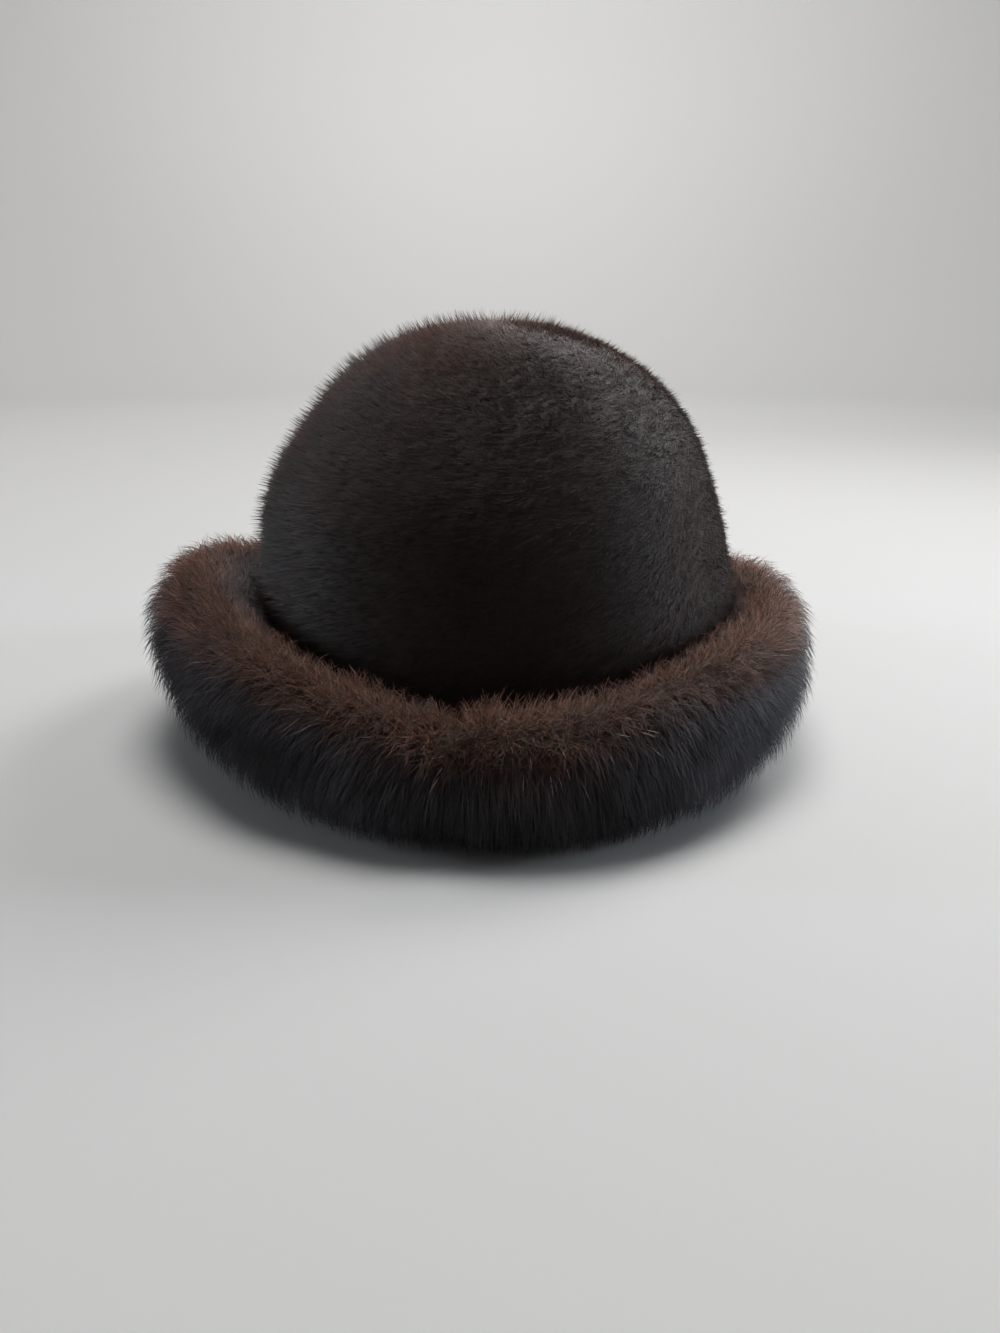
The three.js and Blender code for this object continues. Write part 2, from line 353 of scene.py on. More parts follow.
def add_fur(name, paths, off_skin, width, tone, brown, material):
    """paths is hairs x points x 3, from root to tip, and width each hair's at its root."""
    hairs, points = paths.shape[:2]
    rings = points - 1
    heading = unit(np.diff(paths, axis=1))
    side = unit(np.cross(heading, off_skin[:, None, :]))
    other = np.cross(heading, side)
    angle = np.arange(SPIKE_SIDES) * 2 * math.pi / SPIKE_SIDES
    radius = width[:, None] / 2 * np.linspace(1, LAST_RING_WIDTH, rings)[None, :]
    spread = side[:, :, None] * np.cos(angle)[:, None]
    spread = spread + other[:, :, None] * np.sin(angle)[:, None]
    ring = paths[:, :-1, None] + spread * radius[..., None, None]
    corners = np.concatenate([ring.reshape(hairs, -1, 3), paths[:, -1:]], axis=1)
    mesh = bpy.data.meshes.new(name)
    mesh.from_pydata(corners.reshape(-1, 3), [], spike_faces(hairs, rings))
    along = np.append(np.repeat(np.arange(rings) / rings, SPIKE_SIDES), 1.0)
    marks = np.stack(np.broadcast_arrays(along[None, :], tone[:, None], brown[:, None]), -1)
    attribute = mesh.attributes.new("hair", "FLOAT_VECTOR", "POINT")
    attribute.data.foreach_set("vector", marks.astype(np.float32).ravel())
    mesh.shade_smooth()
    facing = np.concatenate([spread.reshape(hairs, -1, 3), off_skin[:, None]], axis=1)
    facing = unit(facing * (1 - SOFTNESS) + off_skin[:, None] * SOFTNESS)
    mesh.normals_split_custom_set_from_vertices(facing.reshape(-1, 3))
    finish_piece(name, mesh, material)


def spike_faces(hairs, rings):
    """The triangles of one spike, repeated for all the hairs."""
    faces = [tuple(reversed(range(SPIKE_SIDES)))]
    for low in range(0, (rings - 1) * SPIKE_SIDES, SPIKE_SIDES):
        for a in range(SPIKE_SIDES):
            b = (a + 1) % SPIKE_SIDES
            up = low + SPIKE_SIDES
            faces += [(low + a, low + b, up + b), (low + a, up + b, up + a)]
    last, tip = (rings - 1) * SPIKE_SIDES, rings * SPIKE_SIDES
    faces += [(last + a, last + (a + 1) % SPIKE_SIDES, tip) for a in range(SPIKE_SIDES)]
    first = np.arange(hairs)[:, None, None] * (tip + 1)
    return (np.array(faces)[None] + first).reshape(-1, 3)


# %% Every piece is put in the scene in the same way
pieces = {}


def triangles_in(mesh):
    return sum(len(face.vertices) - 2 for face in mesh.polygons)


def finish_piece(name, mesh, material):
    piece = bpy.data.objects.new(name, mesh)
    bpy.context.scene.collection.objects.link(piece)
    mesh.materials.append(material)
    pieces[name] = piece
    print(f"{name}: {triangles_in(mesh)} triangles")


# %% Hairs that stay above the surface that the hat rests on
FLOOR_CUSHION = 1.5 * MM
FLOOR_GAP = 0.3 * MM


def lay_on_floor(paths):
    """Hair that would go through the floor is bent flat just above it."""
    height = paths[..., 2]
    low = np.minimum(height, FLOOR_CUSHION)
    pressed = FLOOR_CUSHION * np.exp((low - FLOOR_CUSHION) / FLOOR_CUSHION)
    paths[..., 2] = np.where(height < FLOOR_CUSHION, pressed, height) + FLOOR_GAP
    return paths


# %% [markdown]
# Dark fur shows two things at once: the colour inside each hair, and the gloss on its surface.
# The colour comes from the hair's own numbers: roots are darker than tips, partly as painted
# shade deep in the fur, every hair differs a little, and brown fur gives way to black. The gloss
# needs no colour: it comes from many thin round hairs that each catch the light. So one simple
# shader does for every layer, with a little gloss, and on the crown a trace of the pale edge
# that soft pile has.

# %% Fur colours, each from a hair's root to its tip
# The darker roots are partly the fur's own colour and partly painted shade deep in the fur.
CROWN_BLACK = ((0.0115, 0.0082, 0.0068), (0.026, 0.0175, 0.0145))
# A red-brown that shows in random places, and near the top stands in for the warm sheen there:
# painted sheen.
CROWN_RUSSET_AND_SHEEN = ((0.016, 0.0085, 0.0065), (0.044, 0.021, 0.0155))
# The brim's black is tinted a little blue: a painted reflection of cool light on the fur's own
# near-black.
BRIM_BLACK_AND_BLUE_SHEEN = ((0.013, 0.0118, 0.0125), (0.042, 0.0385, 0.043))
BRIM_BROWN = ((0.024, 0.0092, 0.0048), (0.050, 0.0195, 0.0098))
PALE_HAIR = (0.26, 0.21, 0.17)
PALE_TONE = 4
VELVET = (0.85, 0.68, 0.62)
VELVET_ROUGHNESS = 0.45


# %% Helpers for materials
def start_material(name, roughness):
    """A new material, its nodes and links, and its shader."""
    material = bpy.data.materials.new(name)
    material.use_nodes = True
    nodes, links = material.node_tree.nodes, material.node_tree.links
    shader = nodes["Principled BSDF"]
    shader.inputs["Roughness"].default_value = roughness
    return material, nodes, links, shader


def colour_mix(nodes, **colours):
    """A node that mixes the colours A and B. One that isn't given here is linked in."""
    mix = nodes.new("ShaderNodeMix")
    mix.data_type = "RGBA"
    for socket, colour in colours.items():
        mix.inputs[socket].default_value = (*colour, 1)
    return mix


# %% A material for fur
def fur_material(name, black, brown, roughness, gloss, velvet):
    """black and brown are each a root and a tip colour. velvet is the pale edge of soft pile.
    A tone about PALE_TONE, far over all others, makes a hair pale."""
    material, nodes, links, shader = start_material(name, roughness)
    shader.inputs["Specular IOR Level"].default_value = gloss
    shader.inputs["Sheen Weight"].default_value = velvet
    shader.inputs["Sheen Roughness"].default_value = VELVET_ROUGHNESS
    shader.inputs["Sheen Tint"].default_value = (*VELVET, 1)
    hair = nodes.new("ShaderNodeAttribute")
    hair.attribute_name = "hair"
    parts = nodes.new("ShaderNodeSeparateXYZ")
    links.new(hair.outputs["Vector"], parts.inputs[0])
    zone = colour_mix(nodes)
    links.new(parts.outputs["Z"], zone.inputs["Factor"])
    for socket, (root, tip) in (("A", black), ("B", brown)):
        mix = colour_mix(nodes, A=root, B=tip)
        links.new(parts.outputs["X"], mix.inputs["Factor"])
        links.new(mix.outputs["Result"], zone.inputs[socket])
    tone = colour_mix(nodes)
    tone.blend_type = "MULTIPLY"
    tone.inputs["Factor"].default_value = 1
    links.new(zone.outputs["Result"], tone.inputs["A"])
    links.new(parts.outputs["Y"], tone.inputs["B"])
    is_pale = nodes.new("ShaderNodeMapRange")
    is_pale.inputs["From Min"].default_value = PALE_TONE - 1
    is_pale.inputs["From Max"].default_value = PALE_TONE
    links.new(parts.outputs["Y"], is_pale.inputs["Value"])
    pale = colour_mix(nodes, B=PALE_HAIR)
    links.new(is_pale.outputs["Result"], pale.inputs["Factor"])
    links.new(tone.outputs["Result"], pale.inputs["A"])
    links.new(pale.outputs["Result"], shader.inputs["Base Color"])
    return material


# %% The two kinds of fur
crown_fur = fur_material(
    "crown_fur", CROWN_BLACK, CROWN_RUSSET_AND_SHEEN, roughness=0.45, gloss=0.08, velvet=0.01
)
brim_fur = fur_material(
    "brim_fur", BRIM_BLACK_AND_BLUE_SHEEN, BRIM_BROWN, roughness=0.55, gloss=0.13, velvet=0.0
)

# %% A material for the pelts under the fur
PELT_ROUGHNESS = 0.85
PELT_GLOSS = 0.2
GRAIN_SCALE = 900
GRAIN_DETAIL = 4
GRAIN_DEPTH = 0.4 * MM
GRAIN_STRENGTH = 0.6


def pelt_material(name, dark, light):
    """Short felted underfur: soft, matt, with a fine grain."""
    material, nodes, links, shader = start_material(name, PELT_ROUGHNESS)
    shader.inputs["Specular IOR Level"].default_value = PELT_GLOSS
    place = nodes.new("ShaderNodeTexCoord")
    grain = nodes.new("ShaderNodeTexNoise")
    grain.inputs["Scale"].default_value = GRAIN_SCALE
    grain.inputs["Detail"].default_value = GRAIN_DETAIL
    links.new(place.outputs["Object"], grain.inputs["Vector"])
    mix = colour_mix(nodes, A=dark, B=light)
    links.new(grain.outputs["Fac"], mix.inputs["Factor"])
    links.new(mix.outputs["Result"], shader.inputs["Base Color"])
    bump = nodes.new("ShaderNodeBump")
    bump.inputs["Distance"].default_value = GRAIN_DEPTH
    bump.inputs["Strength"].default_value = GRAIN_STRENGTH
    links.new(grain.outputs["Fac"], bump.inputs["Height"])
    links.new(bump.outputs["Normal"], shader.inputs["Normal"])
    return material


crown_pelt_finish = pelt_material("crown_pelt", (0.008, 0.006, 0.005), (0.020, 0.0135, 0.011))
brim_pelt_finish = pelt_material("brim_pelt", (0.010, 0.008, 0.008), (0.024, 0.019, 0.019))

# %% [markdown]
# The crown's pelt is a hollow dome. Its profile is drawn once, up the outside and down the
# inside, and spun round the axis; then every point is moved onto the hat's oval shape. The
# outer face lies a little under the fur's surface, because the hair fills the rest.


# %% Helpers for shapes that are spun
def spin_round(shape, geometry, steps):
    """Spins a section once round the upright axis, until it meets itself."""
    bmesh.ops.spin(
        shape, geom=geometry, cent=(0, 0, 0), axis=(0, 0, 1),
        angle=2 * math.pi, steps=steps, use_merge=True, use_duplicate=False,
    )


def spin_profile(profile, steps, closed):
    """A profile of radii and heights, spun as a pot is turned on a wheel."""
    shape = bmesh.new()
    points = [shape.verts.new((radius, 0, height)) for radius, height in profile]
    following = points[1:] + points[:1] if closed else points[1:]
    edges = [shape.edges.new(pair) for pair in zip(points, following)]
    spin_round(shape, points + edges, steps)
    return shape


def mesh_of(shape, name):
    """The shape as a finished mesh, with its faces turned outwards and shaded smoothly."""
    bmesh.ops.recalc_face_normals(shape, faces=shape.faces)
    open_edges = sum(1 for edge in shape.edges if not edge.is_manifold)
    mesh = bpy.data.meshes.new(name)
    shape.to_mesh(mesh)
    shape.free()
    mesh.shade_smooth()
    print(f"{name}: {open_edges} open edges")
    return mesh


# %% The crown pelt's profile, in millimetres
CROWN_PELT_DEPTH = 1.6
CROWN_PELT_STEPS = 40
CROWN_PELT_AROUND = 128
HOLLOW_TOP = 147

half, height = on_outline(np.linspace(0, 1, CROWN_PELT_STEPS))
rise, draw_in = np.gradient(height), -np.gradient(half)
length = np.hypot(rise, draw_in)
profile = []
for depth, order in ((CROWN_PELT_DEPTH, 1), (CROWN_WALL, -1)):
    side_half = np.maximum(half - depth * rise / length, 0)
    side_height = np.clip(height - depth * draw_in / length, 0, None)
    if order < 0:
        side_height = np.minimum(side_height, HOLLOW_TOP)
    profile += zip(side_half[::order] * MM, side_height[::order] * MM)
print("crown profile:", len(profile), "points")

# %% Spin the crown's profile and set it on the hat
SAME_POINT = 0.02 * MM
NO_LENGTH = 0.01 * MM

crown_shape = spin_profile(profile, CROWN_PELT_AROUND, closed=True)
bmesh.ops.remove_doubles(crown_shape, verts=crown_shape.verts, dist=SAME_POINT)
bmesh.ops.dissolve_degenerate(crown_shape, edges=crown_shape.edges, dist=NO_LENGTH)
# The profile's edge on the axis, from the outer top to the inner one, makes no face.
on_axis = [edge for edge in crown_shape.edges if not edge.link_faces]
bmesh.ops.delete(crown_shape, geom=on_axis, context="EDGES")
dome = np.array([v.co for v in crown_shape.verts]) / MM
for v, place in zip(crown_shape.verts, place_on_hat(*dome.T)):
    v.co = place
finish_piece("crown_pelt", mesh_of(crown_shape, "crown_pelt"), crown_pelt_finish)

# %% [markdown]
# The brim's pelt is a tube bent round the hat, so it starts as a circle that is spun into a
# ring. Each point of that ring knows its azimuth and its turn round the section, and the brim's
# function says where it belongs. It lies deeper than the crown's pelt, as the fur is longer,
# but meets the crown's edge where it is sewn on.

# %% How deep the brim's pelt lies, in millimetres
BRIM_PELT_DEPTH = 8
SEAM_AT = 210
SEAM_HALF, SEAM_FADES_AT = 30, 80
SEAM_PELT_DEPTH = -0.8


def brim_depth(turn):
    """How deep the pelt lies under the fur. At the seam it meets the crown."""
    off_seam = np.abs(np.mod(turn - SEAM_AT + 180, 360) - 180)
    deeper = smooth(off_seam, SEAM_HALF, SEAM_FADES_AT)
    return SEAM_PELT_DEPTH + (BRIM_PELT_DEPTH - SEAM_PELT_DEPTH) * deeper


# %% A plain ring for the brim's pelt
BRIM_PELT_AROUND = 160
BRIM_PELT_SECTION = 40
RING_RADIUS = 1.0
TUBE_RADIUS = 0.2

brim_shape = bmesh.new()
bmesh.ops.create_circle(brim_shape, segments=BRIM_PELT_SECTION, radius=TUBE_RADIUS)
upright = Matrix.Translation((RING_RADIUS, 0, 0)) @ Matrix.Rotation(math.pi / 2, 4, "X")
bmesh.ops.transform(brim_shape, matrix=upright, verts=brim_shape.verts)
spin_round(brim_shape, brim_shape.verts[:] + brim_shape.edges[:], BRIM_PELT_AROUND)
print("ring:", len(brim_shape.verts), "points")

# %% Bend the ring onto the brim's roll
PELT_ABOVE_FLOOR = 1 * MM

ring = np.array([v.co for v in brim_shape.verts])
azimuth = np.degrees(np.arctan2(ring[:, 1], ring[:, 0]))
turn = np.degrees(np.arctan2(ring[:, 2], np.hypot(ring[:, 0], ring[:, 1]) - RING_RADIUS))
places = on_brim(azimuth, turn, -brim_depth(turn))
places[:, 2] = np.maximum(places[:, 2], PELT_ABOVE_FLOOR)
for v, place in zip(brim_shape.verts, places):
    v.co = place
finish_piece("brim_pelt", mesh_of(brim_shape, "brim_pelt"), brim_pelt_finish)

# %% [markdown]
# The crown's nap is short and combed. From the middle of the top it runs outwards in a slow
# swirl, and round the sides it lies nearly level, towards the left on the near side. A lower
# layer lies flat and covers the pelt. The upper one leans out further. Up to a quarter of its
# hairs are longer and darker guard hairs, and these make the fuzz of the outline. The nap
# stands up most at the top and at the left of the near side. A red-brown tone shows in random
# places, and more of it towards the top is a painted warm sheen.

# %% How the nap lies, with angles in degrees and lengths in millimetres
NAP_HAIRS = 48000
NAP_FROM, NAP_TO = 0.16, 0.999
NAP_ROOT = 0.3
OUTLINE_PARTS = 200
NAP_BUNCHES = {"cells_round": 90, "cell_v": 1.6}
NAP_PULL = 0.3
NAP_WAVES = {"per_section": 2.0, "seed": 11}

SLOPE_AT_SIDES = 14
SLOPE_MORE_AT_TOP = 46
SLOPE_WAVE = 12
SLOPE_BY_BUNCH = 26
SLOPE_NOISE = 6
SLOPE_TURNS = (0.72, 1.0)

RAISED_AT = 205
RAISED_OVER = (-0.3, 0.6)
TOP_RAISED = 0.8
TOP_OVER = (0.8, 0.95)
STAND_WAVE = 4
STAND_BY_BUNCH = 12
# A random share is raised to this power, so that most hairs lie low.
LOW_MORE_OFTEN = 1.5

# %% Guard hairs, tones and the shimmer of the nap
LONG_WHERE_FLAT = 0.65
LONGER_WHERE_FLAT, LONGER_WHERE_RAISED = 0.1, 0.45
LONG_NOISE = 8
LONG_TONE, LONG_TONE_FALL = 0.85, 0.2
LONG_WIDER = 1.35

BUNCH_TONE = 0.4
NAP_WAVE_TONE = 0.2
NAP_TONE_RANGE = (0.92, 1.08)

# The red-brown rises towards the top as painted sheen; the least share and the waves are the fur's
# own random tone.
RUSSET_LEAST = 0.1
RUSSET_PAINTED_SHEEN_AT_TOP = 0.7
RUSSET_SHEEN_OVER = (0.6, 0.95)
RUSSET_WAVE = 0.6
RUSSET_WAVES = {"per_section": 3.0, "seed": 12}


def nap_raised(azimuth, along):
    """0 where the nap lies flat, and 1 where it stands up most."""
    raised = smooth(np.cos(np.radians(azimuth - RAISED_AT)), *RAISED_OVER)
    return np.maximum(raised, TOP_RAISED * smooth(along, *TOP_OVER))


def nap_russet_and_sheen(azimuth, along):
    """How much red-brown shows, from 0 to 1: in random places, and as painted sheen at the top."""
    russet = RUSSET_LEAST + RUSSET_PAINTED_SHEEN_AT_TOP * smooth(along, *RUSSET_SHEEN_OVER)
    return np.clip(russet + RUSSET_WAVE * slow_waves(azimuth, along, **RUSSET_WAVES), 0, 1)


# %% The roots of a layer of nap, and how its hairs lie
def nap_roots(rng, seed):
    """Where the hairs grow, and what the nap is like at each place."""
    azimuth, along = spread_roots(rng, on_crown, NAP_HAIRS, (NAP_FROM, NAP_TO))
    bunch_u, bunch_v, mark = bunch_of(azimuth, along * OUTLINE_PARTS, seed=seed, **NAP_BUNCHES)
    return SimpleNamespace(
        azimuth=azimuth,
        along=along,
        waves=slow_waves(azimuth, along, **NAP_WAVES),
        up=nap_raised(azimuth, along),
        bunch_azimuth=bunch_u,
        bunch_along=np.clip(bunch_v / OUTLINE_PARTS, 0, 1),
        mark=mark,
    )


def nap_flow(rng, at, around, onward):
    """The direction along the skin in which each hair is combed."""
    slope = SLOPE_AT_SIDES + SLOPE_MORE_AT_TOP * smooth(at.along, *SLOPE_TURNS)
    slope = slope + SLOPE_WAVE * at.waves + rng.normal(0, SLOPE_NOISE, NAP_HAIRS)
    slope = np.radians(slope + SLOPE_BY_BUNCH * second_mark(at.mark))
    return -around * np.cos(slope)[:, None] - onward * np.sin(slope)[:, None]


def nap_stand(rng, at, flat, raised, is_long):
    """How far each hair leans off the skin, in radians."""
    low, high = [a + (b - a) * at.up for a, b in zip(flat, raised)]
    stand = low + (high - low) * rng.uniform(0, 1, NAP_HAIRS) ** LOW_MORE_OFTEN
    stand = stand + STAND_WAVE * at.waves + STAND_BY_BUNCH * (at.mark - 0.5)
    return np.radians(np.where(is_long, high + rng.normal(0, LONG_NOISE, NAP_HAIRS), stand))


# %% A layer of the crown's nap
def crown_nap(name, seed, length, width, flat, raised, brightness, long_share=0):
    """flat and raised are ranges of lean off the skin, in degrees, where the nap lies flat and
    where it stands up. long_share is the share of guard hairs where it stands up."""
    rng = np.random.default_rng(seed)
    at = nap_roots(rng, seed)
    depth = CROWN_PELT_DEPTH + NAP_ROOT
    here, around, onward, off = skin_at(on_crown, at.azimuth, at.along, depth)
    flow = nap_flow(rng, at, around, onward)
    share = long_share * (LONG_WHERE_FLAT + (1 - LONG_WHERE_FLAT) * at.up)
    is_long = rng.uniform(0, 1, NAP_HAIRS) < share
    stand = nap_stand(rng, at, flat, raised, is_long)
    heading = flow * np.cos(stand)[:, None] + off * np.sin(stand)[:, None]
    longer = 1 + is_long * (LONGER_WHERE_FLAT + LONGER_WHERE_RAISED * at.up)
    reach = rng.uniform(*length, NAP_HAIRS) * longer * MM
    together = on_crown(at.bunch_azimuth, at.bunch_along) - on_crown(at.azimuth, at.along)
    tips = here + heading * reach[:, None] + NAP_PULL * together
    tone = brightness * (varied(at.mark, BUNCH_TONE) + NAP_WAVE_TONE * at.waves)
    tone = tone * rng.uniform(*NAP_TONE_RANGE, NAP_HAIRS)
    tone = np.where(is_long, (LONG_TONE - LONG_TONE_FALL * at.up) * tone, tone)
    wide = rng.uniform(*width, NAP_HAIRS) * np.where(is_long, LONG_WIDER, 1) * MM
    paths = np.stack([here, tips], axis=1)
    add_fur(name, paths, off, wide, tone, nap_russet_and_sheen(at.azimuth, at.along), crown_fur)


# %% The crown's two layers
crown_nap(
    "crown_underfur", seed=21, length=(4.5, 6.5), width=(0.30, 0.40),
    flat=(10, 22), raised=(20, 40), brightness=0.97,
)
crown_nap(
    "crown_nap", seed=22, length=(4.2, 5.6), width=(0.22, 0.30),
    flat=(16, 40), raised=(30, 64), brightness=1.03, long_share=0.25,
)

# %% [markdown]
# The brim's fur is longer. It grows from the valley beside the crown, over the ridge, and down
# the outside. On the ridge it is woolly and brown, its short hairs turned every way. Down the
# outside it is sleek and dark, with single pale hairs where the colours meet. In the valley its
# colour is painted dark as shade, and that painted shade is widest at the left end. The skins
# were joined at one place near the middle of the near side, where the hairs part, and a little
# tuft stands up beside the join.
#
# The roll curves so tightly that a straight hair would leave it. So each tip is placed with the
# brim's function too: onward by the hair's length, and at a chosen height over the surface that
# the solid has. Tips also stay a little above the pelt, which comes up to meet the crown under
# the roll and would show bare there.

# %% Where the brim's fur is brown, in degrees
BROWN_FROM, BROWN_FULL = 26, 66
BROWN_WAVE = 13
BROWN_NOISE = 7
BROWN_WAVES = {"per_section": 3.0, "seed": 36}
BROWN_LOWER = 10
BROWN_LOWER_OFF, BROWN_LOWER_HALF = 15, 25

# In the valley the brown is painted towards black as shade, and the valley reaches furthest in at
# the left end.
VALLEY_FROM, VALLEY_FULL = 108, 155
VALLEY_PAINTED_SHADE = 0.75
DARK_END_AT, DARK_END_HALF = 195, 25
DARK_END_WIDER = 14


def brim_brown(rng, azimuth, turn, valley):
    """How brown the fur is that grows at a place: 0 outside, 1 on the ridge."""
    edge = turn + BROWN_WAVE * slow_waves(azimuth, turn / 360, **BROWN_WAVES)
    edge = edge + rng.normal(0, BROWN_NOISE, len(turn))
    edge = edge + BROWN_LOWER * hill(off_join(azimuth), BROWN_LOWER_OFF, BROWN_LOWER_HALF)
    # Painted shade: in the valley the brown gives way to black.
    return smooth(edge, BROWN_FROM, BROWN_FULL) * (1 - VALLEY_PAINTED_SHADE * valley)


# %% The roots of a layer, and what the fur is like at each
BRIM_WAVES = {"per_section": 2.0, "seed": 31}
BRIM_BUNCHES = {"cells_round": 240, "cell_v": 8.0}
BRIM_PATCHES = {"cells_round": 56, "cell_v": 26.0, "seed": 35}
BRIM_SPOTS = {"cells_round": 120, "cell_v": 13.0, "seed": 37}
TUFT_OFF, TUFT_HALF = 5, 3
TUFT_OVER = (50, 90)


def brim_roots(rng, seed, hairs, turns):
    """Patches are broad, spots half as broad, and bunches are a few hairs each."""
    azimuth, turn = spread_roots(rng, on_brim, hairs, turns)
    at_end = hill(np.mod(azimuth, 360), DARK_END_AT, DARK_END_HALF)
    valley = smooth(turn + DARK_END_WIDER * at_end, VALLEY_FROM, VALLEY_FULL)
    bunch_u, bunch_v, mark = bunch_of(azimuth, turn + 360, seed=seed, **BRIM_BUNCHES)
    return SimpleNamespace(
        azimuth=azimuth,
        turn=turn,
        from_join=off_join(azimuth),
        valley=valley,
        brown=brim_brown(rng, azimuth, turn, valley),
        waves=slow_waves(azimuth, turn / 360, **BRIM_WAVES),
        bunch_azimuth=bunch_u,
        bunch_turn=bunch_v - 360,
        mark=mark,
        patch=bunch_of(azimuth, turn + 360, **BRIM_PATCHES)[2],
        spot=bunch_of(azimuth, turn + 360, **BRIM_SPOTS)[2],
        tuft=hill(off_join(azimuth), TUFT_OFF, TUFT_HALF) * smooth(turn, *TUFT_OVER),
    )


def step_sizes(azimuth, turn, depth):
    """Metres for each degree round the hat, and for each degree of turn."""
    a = on_brim(azimuth + 0.5, turn, -depth) - on_brim(azimuth - 0.5, turn, -depth)
    b = on_brim(azimuth, turn + 0.5, -depth) - on_brim(azimuth, turn - 0.5, -depth)
    return np.linalg.norm(a, axis=-1), np.linalg.norm(b, axis=-1)


# %% Which way the brim's hairs turn, in degrees
ASIDE_WAVE = 16
SLEEK_NOISE, WOOLLY_NOISE = 8, 50
PARTING_HALF = 4.5
PARTING_TURN = 20
PARTING_OVER = (0, 60)


def turned_aside(rng, at, wild):
    """How far each hair turns aside from straight outwards and down, in radians."""
    by_bunch = second_mark(at.mark) * 2 * wild * at.brown
    noise = rng.normal(0, 1, len(at.turn)) * (SLEEK_NOISE + WOOLLY_NOISE * at.brown)
    near_join = hill(at.from_join, 0, PARTING_HALF) * smooth(at.turn, *PARTING_OVER)
    parting = PARTING_TURN * near_join * np.sign(at.from_join)
    return np.radians(ASIDE_WAVE * at.waves + by_bunch + noise + parting)


# %% Which of the brim's hairs are pale
PALE_STARTS, PALE_ENDS = (0, 20), (45, 65)
PALE_JOIN_HALF = 45
PALE_FAR_OFF = 0.35
PALE_ASIDE = 0.3
PALE_LENGTH = (3, 5)
PALE_TONE_RANGE = 1.2


def chosen_pale(rng, at, pale):
    """They grow where brown meets black, most near the join, and in some patches more."""
    meeting = smooth(at.turn, *PALE_STARTS) * (1 - smooth(at.turn, *PALE_ENDS)) * at.patch
    near_join = hill(at.from_join, 0, PALE_JOIN_HALF)
    meeting = meeting * (PALE_FAR_OFF + (1 - PALE_FAR_OFF) * near_join)
    return rng.uniform(0, 1, len(at.turn)) < pale * meeting


# %% How far the brim's tips stand over the solid's surface, in millimetres
TUFT_RISE = 2.5
RIDGE_LOWER = 1.2
RIDGE_OVER = (60, 100)
PATCH_RISE, SPOT_RISE = 3.2, 1.6
SLEEK_RISE = 0.25
BUNCH_RISE, WOOLLY_BUNCH_RISE = 1.4, 0.6
VALLEY_LOWER = 3.0
WOOLLY_EVEN = 0.6
OVER_PELT, OVER_PELT_BY_BUNCH = 0.8, 1.4


def tip_heights(rng, at, to_turn, rise):
    lift = (rise[1] - rise[0]) * (1 - WOOLLY_EVEN * at.brown)
    over = rise[0] + lift * rng.uniform(0, 1, len(at.turn)) ** LOW_MORE_OFTEN
    over = over + TUFT_RISE * at.tuft - RIDGE_LOWER * smooth(at.turn, *RIDGE_OVER)
    uneven = PATCH_RISE * (at.patch - 0.5) + SPOT_RISE * (at.spot - 0.5)
    over = over + uneven * (SLEEK_RISE + (1 - SLEEK_RISE) * at.brown)
    by_bunch = (BUNCH_RISE + WOOLLY_BUNCH_RISE * at.brown) * (at.mark - 0.5)
    over = over + at.waves + by_bunch - VALLEY_LOWER * at.valley
    return np.maximum(over, OVER_PELT + OVER_PELT_BY_BUNCH * at.mark - brim_depth(to_turn))


# %% A layer of the brim's fur
BRIM_ROOT = 0.4
WOOLLY_SHORTER, VALLEY_SHORTER = 0.15, 0.45
WOOLLY_LOOSER = 0.6
BEND_UP, BEND_DOWN = 0.7, 0.3
PATCH_TONE = 0.7
TUFT_TONE = 0.2
BRIM_TONE_RANGE = (0.88, 1.12)


